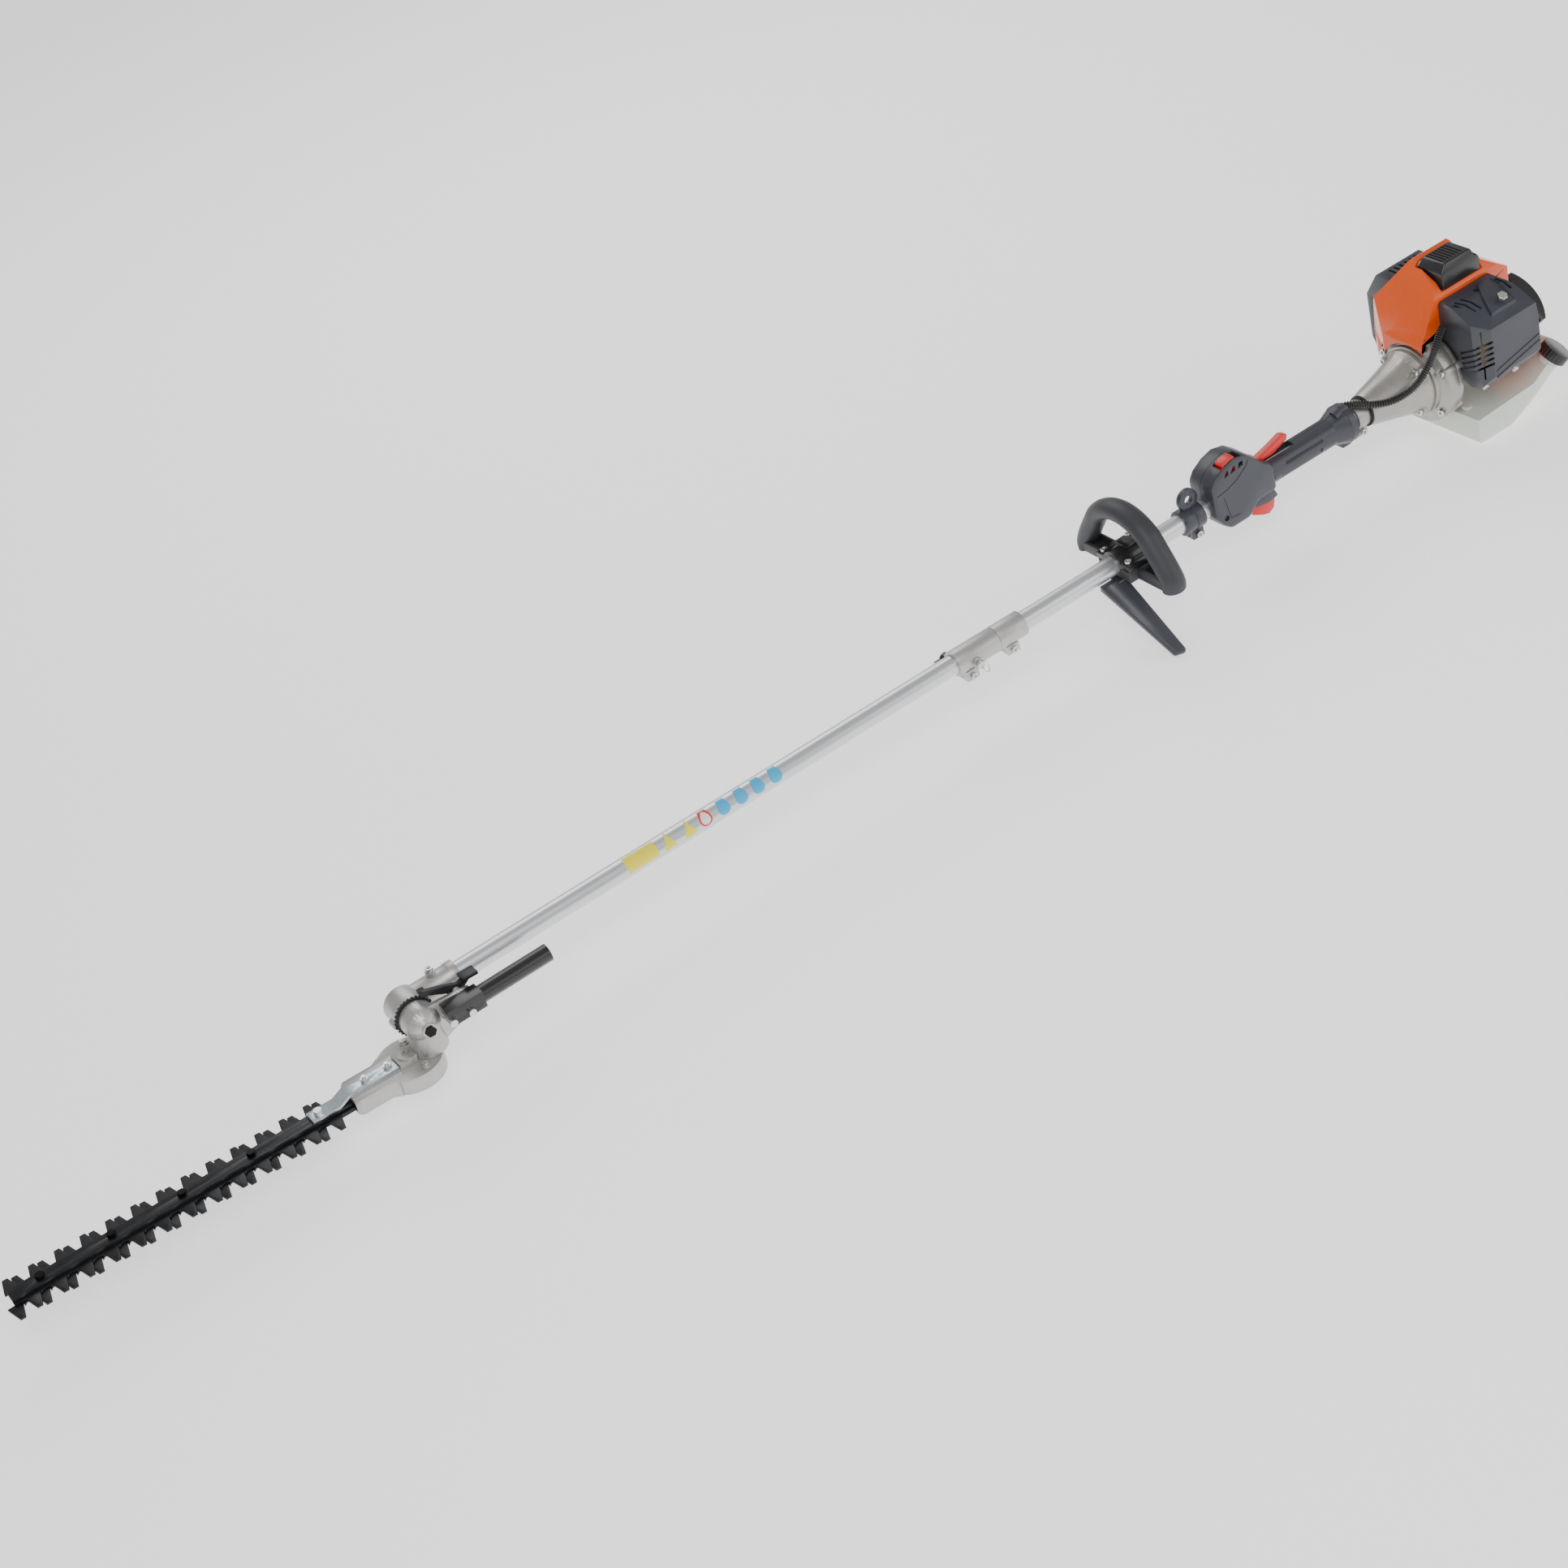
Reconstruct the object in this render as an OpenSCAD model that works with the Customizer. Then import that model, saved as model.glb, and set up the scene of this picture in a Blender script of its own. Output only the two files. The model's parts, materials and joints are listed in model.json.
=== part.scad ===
// Long-reach petrol hedge trimmer: engine, two-piece pole, tilting cutter head.
// X runs along the pole towards the engine, -Y is the air-filter side, +Z is up.
// The origin is the centre of the harness eye, which stands above the pole axis.

/* [Pole] */
// Outer diameter of the drive tubes
tube_d = 26; // [26:0.5:26]
// Wall thickness of the drive tubes
tube_wall = 1.5; // [1:0.1:2]
// Depth of the pole axis below the harness eye
eye_height = 28; // [27:1:30]
// Diameter of the drive shafts
shaft_d = 8; // [7:0.5:8]
// Place along the pole where the two tubes meet
seam_x = -326; // [-326:1:-326]

/* [Cutter head] */
// Place of the tilt axis along the pole
tilt_x = -1198; // [-1198:1:-1198]
// Angle of the head to the pole at rest, in degrees
head_rest = 2.5; // [0:0.5:4]
// Sideways offset of the gearbox and blades
blade_y = -43; // [-43:1:-43]
// Distance between two teeth of a blade
tooth_pitch = 31.31; // [31:0.01:32]
// Number of teeth on each edge
tooth_count = 13; // [10:1:13]
// Half width over the tooth tips
tip_half = 34.8; // [30:0.2:36]
// Thickness of one blade
blade_t = 2.4; // [2:0.1:2.5]
// Width of the blade support bar
bar_w = 20; // [16:1:22]
// Module of the crank gears
gear_m = 1.4; // [1.4:0.1:1.4]

/* [Engine] */
// Cylinder bore
bore_d = 34; // [32:1:35]
// Place of the cylinder axis along the pole axis
cyl_x = 468; // [466:1:470]
// Half the piston stroke
crank_r = 14; // [12:1:14]
// Half width of the fuel tank
tank_half = 65; // [60:1:66]

/* [Grips] */
// Width of the loop handle's section along the pole
loop_w = 33; // [28:1:33]
// Radius of the rear grip
grip_r = 19.5; // [18.5:0.5:20]
// Diameter of the adjusting handle
adjust_d = 22; // [20:1:22]

/* [Hidden] */
tube_r = tube_d / 2;
tube_in = tube_r - tube_wall;
seat_r = tube_r + 0.05;
shaft_r = shaft_d / 2;
run = 0.05;
crank_u = -28;
e_stroke = 7.83;
e_u = 2.73;
e_v = 7.34;
upper_top = -48.5;
lower_top = upper_top - blade_t - 0.3;
blade_end = -533;
lower_shift = 10.2;
bar_bolt_u = [for (i = [0 : 4]) -495.2 + i * 86.84];
bore_r = bore_d / 2;
fan_bolts = [[-54, 24], [54, 24], [-45, -38], [45, -38]];
cone_bolts = [for (a = [45 : 90 : 315]) [42 * cos(a), 42 * sin(a)]];
handle_outline = [[23, -8], [23, 38], [42, 52], [66, 61], [82, 57], [96, 47], [115, 27], [128, 19],
    [128, -22], [137, -38], [122, -41], [100, -38], [88, -30], [75, -34], [44, -34]];
conduit = [[260, -4, 25], [274, -4, 25], [286, -12, 23], [300, -24, 19], [318, -34, 16], [336, -40, 17],
    [352, -45, 22], [364, -49, 31], [373, -52, 42], [382, -54, 54], [392, -53, 65], [404, -48, 73],
    [416, -41, 76], [424, -37, 77]];
conduit_r = 4.2;

// Places for children
module at_pole() translate([0, 0, -eye_height]) children();
module at_head() at_pole() translate([tilt_x, 0, 0]) rotate([0, head_rest, 0]) children();
module at_crank() at_head() translate([crank_u, blade_y, 0]) children();

// Shapes along X, Y and Z
module rod(x0, x1, r) translate([x0, 0, 0]) rotate([0, 90, 0]) cylinder(h = x1 - x0, r = r, $fn = 64);
module pipe(x0, x1, ro, ri) difference() {
    rod(x0, x1, ro);
    rod(x0 - 1, x1 + 1, ri);
}
module ycyl(x, z, y0, y1, r) translate([x, y0, z]) rotate([-90, 0, 0]) cylinder(h = y1 - y0, r = r, $fn = 48);
module zcyl(x, y, z0, z1, r) translate([x, y, z0]) cylinder(h = z1 - z0, r = r, $fn = 48);
module xcyl(y, z, x0, x1, r) translate([x0, y, z]) rotate([0, 90, 0]) cylinder(h = x1 - x0, r = r, $fn = 48);
module block(x0, x1, y0, y1, z0, z1) translate([x0, y0, z0]) cube([x1 - x0, y1 - y0, z1 - z0]);
module xz(y0, y1) translate([0, y1, 0]) rotate([90, 0, 0]) linear_extrude(y1 - y0) children();
module yz(x0, x1) translate([x0, 0, 0]) rotate([90, 0, 90]) linear_extrude(x1 - x0) children();
module turned() rotate([0, 90, 0]) rotate_extrude($fn = 96) children();

// A closed tube swept along a list of points
function unit(v) = v / norm(v);
function heading(p, i) = unit(p[min(i + 1, len(p) - 1)] - p[max(i - 1, 0)]);
function side_of(d) = unit(cross(d, [0, 0, 1]));
function ring_at(p, i, r, n) = let (d = heading(p, i), s = side_of(d), u = cross(s, d))
    [for (k = [0 : n - 1]) p[i] + r * (cos(360 * k / n) * s + sin(360 * k / n) * u)];
module swept(p, r, n = 10) {
    m = len(p);
    pts = [for (i = [0 : m - 1]) each ring_at(p, i, r, n)];
    walls = [for (i = [0 : m - 2], k = [0 : n - 1])
        [i * n + k, (i + 1) * n + k, (i + 1) * n + (k + 1) % n, i * n + (k + 1) % n]];
    polyhedron(pts, concat([[for (k = [0 : n - 1]) k]], walls, [[for (k = [n - 1 : -1 : 0]) (m - 1) * n + k]]));
}

// Pole, bushes and shafts
module lower_tube() color("silver") at_pole() difference() {
    pipe(-1150, seam_x - 0.5, tube_r, tube_in);
    ycyl(-367, -3, -20, -8, 3.6);
}
module upper_tube() color("silver") at_pole() pipe(seam_x + 0.5, 292, tube_r, tube_in);
module shaft_bushes() color("dimgray") at_pole()
    for (x = [-1120, -980, -830, -680, -530, -410, -300, -180, -40, 100, 240])
        pipe(x, x + 20, tube_in - 0.05, shaft_r + run);
module lower_shaft() color("gray") at_pole() {
    rod(-1185, -345, shaft_r);
    rod(-1181, -1172, 6);
    translate([-1191, 0, 0]) rotate([0, 90, 0]) bevel(6.6);
    block(-345, -330, -2.5, 2.5, -2.5, 2.5);
}
module upper_shaft() color("gray") at_pole() difference() {
    union() {
        rod(-344, -320, 7);
        rod(-320, 350, shaft_r);
    }
    block(-345, -328, -2.7, 2.7, -2.7, 2.7);
}
// Bevel wheel: small end at z = 0, large end at z = 6, tooth gaps cut down the cone
module bevel(r_small, teeth = 12) difference() {
    cylinder(h = 6, r1 = r_small, r2 = r_small + 6, $fn = 64);
    for (a = [0 : 360 / teeth : 359]) rotate([0, 0, a]) translate([r_small, 0, 0]) rotate([0, 45, 0])
        cube([1.7, 1.7, 30], center = true);
}
module clutch_drum() color("gray") at_pole() difference() {
    union() {
        rod(312, 350, 5);
        rod(345, 378, 28);
    }
    rod(311, 351, shaft_r + 0.05);
    rod(350, 379, 26);
}

// Coupler, loop handle, guard and harness ring
module clamp_ear(x0, x1, r, drop, half = 12) difference() {
    union() {
        pipe(x0, x1, r, seat_r);
        block(x0 + 9, x0 + 27, -half, half, -drop, -tube_r - 0.5);
    }
    block(x0 - 1, x1 + 1, -1, 1, -drop - 1, -tube_r + 2);
    ycyl(x0 + 18, -drop + 6, -half - 1, half + 1, 2.6);
}
module coupler_front() color("silver") at_pole() difference() {
    union() {
        clamp_ear(-391, seam_x - 0.3, 17, 28);
        ycyl(-367, -3, -22, -14, 7);
        ycyl(-384, -7, 13, 20, 8);
    }
    ycyl(-367, -3, -23, -10, 3.55);
    ycyl(-384, -7, 12, 21, 3.1);
    rod(-392, seam_x, seat_r);
}
module coupler_rear() color("silver") at_pole() clamp_ear(seam_x + 0.3, -283, 17, 26);
module locating_pin() color("gray") at_pole() {
    ycyl(-367, -3, -24.5, -11, 3.5);
    translate([-367, -28.5, -3]) rotate([-90, 0, 0]) cylinder(h = 5, r = 6, $fn = 6);
}
module coupler_knob() color("black") at_pole() {
    ycyl(-384, -7, 14.5, 24, 3.0);
    ycyl(-384, -7, 20.4, 30, 8);
    block(-400, -368, 24, 30, -10, -4);
}
module loop_outer() union() {
    intersection() {
        translate([0, -5]) circle(r = 85, $fn = 96);
        translate([-61, 30]) square([122, 60]);
    }
    polygon([[-61, 55], [-61, 54], [-100, -8], [-98, -17], [98, -17], [100, -8], [61, 54], [61, 55]]);
}
module loop_inner() union() {
    intersection() {
        translate([0, -5]) circle(r = 59, $fn = 96);
        translate([-42, 20]) square([84, 40]);
    }
    polygon([[-42, 36], [-70, -3], [-34, -3], [-34, 8], [34, 8], [34, -3], [70, -3], [42, 36]]);
}
module loop_handle() color("dimgray") at_pole() difference() {
    union() {
        yz(-103 - loop_w / 2, -103 + loop_w / 2) difference() {
            loop_outer();
            loop_inner();
        }
        block(-130, -75, -32, 32, -17, 0);
    }
    rod(-131, -74, seat_r);
    block(-131, -74, -33.8, 33.8, 0, 9);
    block(-118, -88, 36, 90, -18, -8);
    block(-118, -88, -90, -36, -18, -8);
    for (x = [-123, -83], y = [-24, 24]) zcyl(x, y, -18, 1, 2.6);
}
module handle_clamp() color("black") at_pole() difference() {
    union() {
        rod(-130, -75, 19);
        block(-130, -75, -32, 32, 0, 8);
        block(-112, -93, -10, 10, 17, 22);
    }
    block(-131, -74, -40, 40, -40, 0.3);
    rod(-131, -74, seat_r);
    for (x = [-123, -83], y = [-24, 24]) zcyl(x, y, -1, 9, 2.6);
}
module barrier_bar() color("dimgray") at_pole() {
    hull() {
        block(-157, -122, -9, -1, -25, -17.2);
        translate([-118, -96, -99]) sphere(r = 5, $fn = 24);
        translate([-127, -94, -98]) sphere(r = 5, $fn = 24);
    }
    block(-136, -112, -14, 14, -20, -17.2);
}
module harness_ring() color("dimgray") at_pole() difference() {
    union() {
        rod(-18, 14, 16.6);
        rod(-18, -4, 17.5);
        rod(0, 14, 17.5);
        ycyl(0, eye_height, -3.5, 3.5, 15);
        block(-10, 10, -3.5, 3.5, 14, eye_height);
        block(-6, 12, -8, 8, -29, -14);
    }
    rod(-19, 15, seat_r);
    ycyl(0, eye_height, -4, 4, 6);
    block(-19, 15, -1, 1, -30, -10);
    ycyl(3, -23, -9, 9, 2.6);
}

// Rear handle: two halves with pockets for the trigger, lockout lever and stop switch
module handle_solid() {
    xz(-23, 23) polygon(handle_outline);
    rod(120, 245, grip_r);
    translate([242, 0, 0]) rotate([0, 90, 0]) cylinder(h = 20, r1 = grip_r, r2 = 27, $fn = 64);
    rod(261, 271, 27);
    block(255, 270, -7, 7, -31, -20);
    block(250, 268, -8, 8, 20, 32);
}
module handle_pockets() {
    rod(20, 275, seat_r);
    block(80, 145, -5.5, 5.5, -70, -13.5);
    block(96, 172, -6.5, 6.5, 13.5, 70);
    block(44, 80, -20, -4, 36, 70);
    xcyl(conduit[0][1], conduit[0][2], 250, 275, conduit_r + 0.3);
    for (p = [[52, -24], [34, 30]]) ycyl(p[0], p[1], -30, 30, 1.8);
    ycyl(52, -24, -30, -20, 3.6);
    ycyl(34, 30, -30, -20, 3.6);
}
module handle_left() color("dimgray") at_pole() difference() {
    handle_solid();
    handle_pockets();
    block(0, 300, -0.1, 60, -90, 90);
}
module handle_right() color("dimgray") at_pole() difference() {
    handle_solid();
    handle_pockets();
    block(0, 300, -60, 0.1, -90, 90);
}
module throttle_trigger() color("red") at_pole() difference() {
    xz(-4.8, 4.8) polygon([[96, -15], [104, -15], [134, -23.5], [134, -44], [131, -55], [122, -60], [112, -57],
        [96, -49]]);
    ycyl(102, -22, -6, 6, 2.05);
}
module lockout_lever() color("red") at_pole()
    xz(-5.5, 5.5) polygon([[112, 21], [112, 26], [140, 33], [162, 40], [170, 37], [168, 30], [142, 21]]);
module stop_switch() color("red") at_pole() {
    xz(-19.5, -4.5) polygon([[49, 40], [49, 57.6], [55, 62], [69, 63.5], [71, 58], [71, 40]]);
}
module throttle_conduit() color("black") at_pole() swept(conduit, conduit_r, 10);
module isolation_ring() color("black") at_pole() pipe(300.5, 303, 22, 16.3);

// Clutch housing, fan housing and the running gear inside
module clutch_housing() color("silver") at_pole() difference() {
    union() {
        pipe(280, 300, 19, seat_r);
        block(282, 298, -10, 10, -27, -14);
        turned() polygon([[0, 303.3], [22, 303.3], [25, 312], [33, 345], [42, 378], [47, 384], [47, 389], [0, 389]]);
        rod(299, 304, 16);
        for (p = cone_bolts) xcyl(p[0], p[1], 376, 389, 6.5);
    }
    block(279, 299.5, -1, 1, -28, -10);
    rod(279, 293, seat_r);
    rod(292, 318, 9);
    rod(317.9, 330, 13.05);
    rod(329, 343, 20);
    rod(342, 390, 30);
    ycyl(290, -22, -12, 12, 2.6);
    for (p = cone_bolts) {
        xcyl(p[0], p[1], 370, 390, 2.6);
        xcyl(p[0], p[1], 356, 376, 5);
    }
}
module bearings() color("gray") at_pole() {
    pipe(320, 328, 13, 5 + run);
    pipe(432, 444, 15, 7.5 + run);
    pipe(492, 504, 15, 7.5 + run);
}
module fan_housing() color("silver") at_pole() difference() {
    union() {
        rod(389.3, 396, 50);
        translate([395.9, 0, 0]) rotate([0, 90, 0]) cylinder(h = 4.2, r1 = 50, r2 = 64, $fn = 96);
        rod(400, 418, 64);
        for (p = fan_bolts) xcyl(p[0], p[1], 399, 418, 7);
    }
    rod(389, 400, 31);
    rod(399, 419, 58);
    for (p = cone_bolts) xcyl(p[0], p[1], 389, 400, 2.6);
    for (p = fan_bolts) {
        xcyl(p[0], p[1], 398, 419, 2.6);
        xcyl(p[0], p[1], 390, 399, 5);
    }
}
module clutch_shoes() color("brown") at_pole() {
    for (s = [-1, 1]) difference() {
        rod(355, 374, 24);
        rod(354, 375, 9);
        block(350, 380, -30, 30, s > 0 ? -40 : -2, s > 0 ? 2 : 40);
        translate([0, 0, s * 16]) rod(350, 380, 3.05);
    }
    for (s = [-1, 1]) translate([0, 0, s * 16]) {
        rod(352.5, 403, 3);
        rod(374.1, 399, 6);
    }
}
module flywheel() color("silver") at_pole() difference() {
    union() {
        rod(399.6, 405, 53);
        rod(399.6, 416, 14);
        for (a = [0 : 24 : 359]) rotate([a, 0, 0]) block(405, 413, -1.2, 1.2, 30, 53);
    }
    rod(399, 417, 6.05);
    for (s = [-1, 1]) translate([0, 0, s * 16]) rod(399, 406, 3.05);
}
module crankshaft() color("gray") at_pole() {
    rod(390, 420, 6);
    rod(420, 455, 7.5);
    rod(481, 506, 7.5);
    rod(506, 550, 6);
    for (x = [455, 473]) difference() {
        rod(x, x + 8, 21);
        block(x - 1, x + 9, -22, 22, 12, 23);
    }
    translate([0, 0, -12]) rod(462, 462.9, 6);
}
module piston() color("silver") at_pole() translate([cyl_x, 0, 0]) difference() {
    union() {
        difference() {
            zcyl(0, 0, 53, 79, bore_r - 0.05);
            zcyl(0, 0, 52, 74, 14);
        }
        block(-3, 3, -4.5, 4.5, crank_r + 4, 64);
        ycyl(0, 64, -14.1, 14.1, 4.5);
        xcyl(0, crank_r, -3, 3, 7.5);
        xcyl(0, crank_r, -4.6, 4.6, 4);
    }
}
module crankcase() color("silver") at_pole() difference() {
    union() {
        rod(425, 508, 27.6);
        block(440, 498, -26, 26, 0, 34);
        pipe(418.3, 425.1, 62, 25);
        for (p = fan_bolts) xcyl(p[0], p[1], 418.3, 429.6, 6);
    }
    rod(452, 484, 24);
    rod(417, 433, 13);
    rod(431.9, 452.1, 15.05);
    rod(483.9, 509, 15.05);
    zcyl(cyl_x, 0, 10, 35, bore_r + 0.6);
    for (p = fan_bolts) xcyl(p[0], p[1], 417, 430, 2.6);
}
module cylinder_barrel() color("silver") at_pole() difference() {
    union() {
        zcyl(cyl_x, 0, 34.05, 98, 22);
        block(cyl_x - 24, cyl_x + 24, -24, 24, 34.05, 38);
        for (i = [0 : 8]) block(cyl_x - 28, cyl_x + 28, -23.6, 28, 44 + 6 * i, 46 + 6 * i);
        block(cyl_x - 12, cyl_x + 12, -36, 0, 50, 70);
        block(cyl_x - 12, cyl_x + 12, 0, 36, 50, 70);
    }
    zcyl(cyl_x, 0, 33, 82, bore_r);
    zcyl(cyl_x, 0, 81, 99, 5);
    ycyl(cyl_x, 60, -37, -10, 7);
    ycyl(cyl_x, 60, 10, 37, 7);
}
module spark_plug() color("white") at_pole() {
    zcyl(cyl_x, 0, 84, 98, 4.95);
    zcyl(cyl_x, 0, 98, 105, 8.5);
    zcyl(cyl_x, 0, 105, 118, 5);
    zcyl(cyl_x, 0, 118, 130, 2.5);
}
module muffler() color("dimgray") at_pole() difference() {
    block(448, 496, 36.1, 92, 22, 90);
    block(451, 493, 39, 89, 25, 87);
    ycyl(cyl_x, 60, 35, 40, 7);
}
// Box frame on the far side: open slots through the front, outer and top walls
module muffler_guard() color("dimgray") at_pole() difference() {
    yz(433, 512) polygon([[60, -8], [105, -8], [115, 12], [115, 78], [92, 112], [60, 112]]);
    yz(437, 513) polygon([[56, -4], [102, -4], [111, 14], [111, 76], [90, 108], [56, 108]]);
    for (i = [0 : 8]) block(450, 500, 100, 120, 6 + 7.5 * i, 9.5 + 7.5 * i);
    for (i = [0 : 7]) block(430, 440, 70, 104, 8 + 9 * i, 12 + 9 * i);
    for (i = [0 : 5]) block(450 + 9 * i, 454 + 9 * i, 66, 86, 100, 120);
}
// Cowl over the cylinder: a faceted cap with an open underside
module cowl(t, x0, x1) intersection() {
    yz(x0, x1) polygon([[-27 + t, -200], [-27 + t, 112 - t], [-14 + t / 2, 128 - t], [28 - t / 2, 150 - t],
        [34, 146 - t], [86 - t, 84 - t], [106 - t, 32], [106 - t, -12], [92, -26], [92, -200]]);
    xz(-60, 120) polygon([[x0, -26 + t], [x0, 56], [434 + t, 130 - t], [448 + t, 151 - t], [505 - t, 151 - t],
        [520, 124 - t], [x1, 100 - t], [x1, -26 + t]]);
    translate([0, 0, -30]) linear_extrude(200) polygon([[x0, -60], [x0, 45], [430 + t, 104 - t],
        [436 + t, 120], [x1, 120], [x1, -60]]);
}
module engine_shroud() color("orangered") at_pole() difference() {
    cowl(0, 391, 555);
    cowl(3, 394.5, 552);
    block(390, 560, -30, 110, -30, -8);
    block(390, 425, -30, 110, -30, 31);
    rod(390, 395, 54.5);
    rod(394, 560, 66.5);
    block(441, 515, -28, 22, 116, 160);
    block(432.6, 512.4, 59.6, 120, -40, 112.4);
    block(453, 483, -30, -20, 47, 73);
    block(500, 560, -30, 120, -30, 60);
}
module plug_cover() color("black") at_pole() difference() {
    intersection() {
        xz(-26, 20) polygon([[443, 117], [443, 142], [452, 152], [500, 152], [512, 134], [512, 117]]);
        yz(440, 515) polygon([[-26, 117], [-26, 138], [-18, 153], [14, 153], [20, 144], [20, 117]]);
    }
    block(446, 508, -23, 17, 116, 140);
    zcyl(cyl_x, 0, 116, 141, 9);
}
module carburettor() color("silver") at_pole() difference() {
    union() {
        block(452, 484, -58, -36.1, 46, 76);
        ycyl(cyl_x, 60, -66, -57, 12);
    }
    ycyl(cyl_x, 60, -67, -35, 7);
}
module filter_element() color("khaki") at_pole() block(442, 516, -84, -66.2, 20, 84);
module filter_shape(t) intersection() {
    yz(430 + t, 530 - t) polygon([[-28, 108 - t], [-58, 104 - t], [-94 + t, 84 - t], [-100 + t, 60],
        [-98 + t, 6], [-76, -18 + t], [-40, -8 + t], [-28, 6]]);
    xz(-101, -27) polygon([[430 + t, 30], [430 + t, 92], [440 + t, 108 - t], [516 - t, 108 - t],
        [527 - t, 84], [530 - t, 15], [524 - t, -2], [470, -18 + t], [440 + t, -18 + t]]);
}
module filter_cover() color("dimgray") at_pole() difference() {
    filter_shape(0);
    filter_shape(3);
    block(433, 527, -31.5, -20, 9, 100);
    translate([489, -77, 93]) rotate([30, 0, 0]) cylinder(h = 40, r = 3.1, center = true, $fn = 32);
    for (i = [0 : 4]) block(428, 448, -102, -88, 24 + 8 * i, 27 + 8 * i);
}
module filter_knob() color("silver") at_pole() translate([489, -77, 93]) rotate([30, 0, 0]) {
    translate([0, 0, 8.8]) cylinder(h = 6, r = 7, $fn = 6);
    translate([0, 0, -6]) cylinder(h = 15, r = 3.0, $fn = 32);
}
module starter_housing() color("orangered") at_pole() difference() {
    union() {
        rod(555.3, 566, 50);
        translate([566, 0, 0]) rotate([0, 90, 0]) cylinder(h = 34, r1 = 50, r2 = 28, $fn = 96);
        pipe(508.1, 555.4, 50, 44);
    }
    rod(553, 580, 32);
    rod(507, 556, 44);
    block(507, 530.4, -60, -20, -20, 60);
    translate([0, 6, 12]) rod(575, 602, 4);
    for (a = [100 : 20 : 260]) rotate([a, 0, 0]) translate([0, 0, 24]) rod(575, 602, 3);
}
module starter_pulley() color("white") at_pole() difference() {
    union() {
        rod(560, 566, 30);
        rod(566, 572, 24);
        rod(572, 576, 30);
    }
    rod(559, 577, 5.05);
}
module starter_grip() color("black") at_pole() {
    difference() {
        translate([612, 6, 12]) rotate([-46.6, 0, 0]) intersection() {
            translate([-9, -10, -39]) cube([22, 20, 78]);
            translate([-52, 0, 0]) rotate([90, 0, 0]) cylinder(h = 30, r = 65, center = true, $fn = 96);
        }
        translate([0, 6, 12]) rod(600, 606, 3);
    }
    translate([0, 6, 12]) rod(577, 608, 1.8);
}

// Fuel tank
module tank_outline(t) polygon([[441 + t, -103 + t], [455 + t, -104 + t], [500, -104 + t], [545 - t, -84 + t],
    [585 - t, -60], [606 - t, -32], [600 - t, -29.5 - t], [585 - t, -39.5 - t], [566, -52 - t],
    [545, -64 - t], [500, -66 - t], [441 + t, -68 - t]]);
module fuel_tank() color("white") at_pole() difference() {
    union() {
        difference() {
            xz(-tank_half, tank_half) tank_outline(0);
            xz(3 - tank_half, tank_half - 3) tank_outline(3);
        }
        intersection() {
            xz(-tank_half, tank_half) tank_outline(0);
            cap_place(-4) cylinder(h = 50, r = 25.5, $fn = 64);
        }
        cap_place(-9) cylinder(h = 9, r = 15, $fn = 48);
        for (y = [-30, 30]) zcyl(455, y, -67, -62, 7);
    }
    cap_place(0) cylinder(h = 50, r = 22, $fn = 64);
    cap_place(-8) cylinder(h = 10, r = 11, $fn = 48);
    cap_place(-14) cylinder(h = 10, r = 5, $fn = 32);
}
// Filler axis, leaning to the rear and to the filter side
module cap_place(d) translate([580, -51, -57]) rotate([0, 35, 0]) rotate([24, 0, 0]) translate([0, 0, 14 + d])
    children();
module fuel_cap() color("black") at_pole() cap_place(0.5) difference() {
    union() {
        cylinder(h = 15, r = 21, $fn = 64);
        translate([0, 0, -6]) cylinder(h = 7, r = 10.6, $fn = 48);
    }
    for (a = [0 : 15 : 359]) rotate([0, 0, a]) translate([21.6, 0, -1]) cylinder(h = 20, r = 1.1, $fn = 16);
}

// Cutter head: parts fixed to the pole
module head_sleeve() color("silver") at_pole() difference() {
    union() {
        rod(-1185, -1126, 16.5);
        rod(-1136, -1126, 17.3);
        ycyl(tilt_x, 0, -25.7, 6, 23);
        translate([tilt_x, 6, 0]) rotate([-90, 0, 0]) cylinder(h = 8, r1 = 23, r2 = 15, $fn = 64);
        ycyl(tilt_x - 23, -1, -25.7, -14, 5);
        zcyl(-1155, 0, 14, 22, 6);
    }
    rod(-1150.1, -1125, seat_r);
    rod(-1182, -1149, 9);
    rod(-1193, -1181, 13.4);
    ycyl(tilt_x, 0, -27, 3, 17.5);
    ycyl(tilt_x, 0, 2, 10, 5 + run);
    zcyl(-1155, 0, 12, 23, 2.6);
}
module index_plate() color("black") at_pole() difference() {
    ycyl(tilt_x, 0, -30, -25.9, 26);
    ycyl(tilt_x, 0, -31, -25, 5 + run);
    for (a = [-150 : 12 : 120]) translate([tilt_x, 0, 0]) rotate([0, a, 0]) translate([0, 0, 26.4])
        ycyl(0, 0, -31, -25, 2.4);
}
module cross_shaft() color("gray") at_pole() translate([tilt_x, 0, 0]) {
    ycyl(0, 0, -38, 8, 5);
    translate([0, -7, 0]) rotate([90, 0, 0]) bevel(6.6);
    translate([0, -37, 0]) rotate([-90, 0, 0]) bevel(5.6);
}

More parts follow.
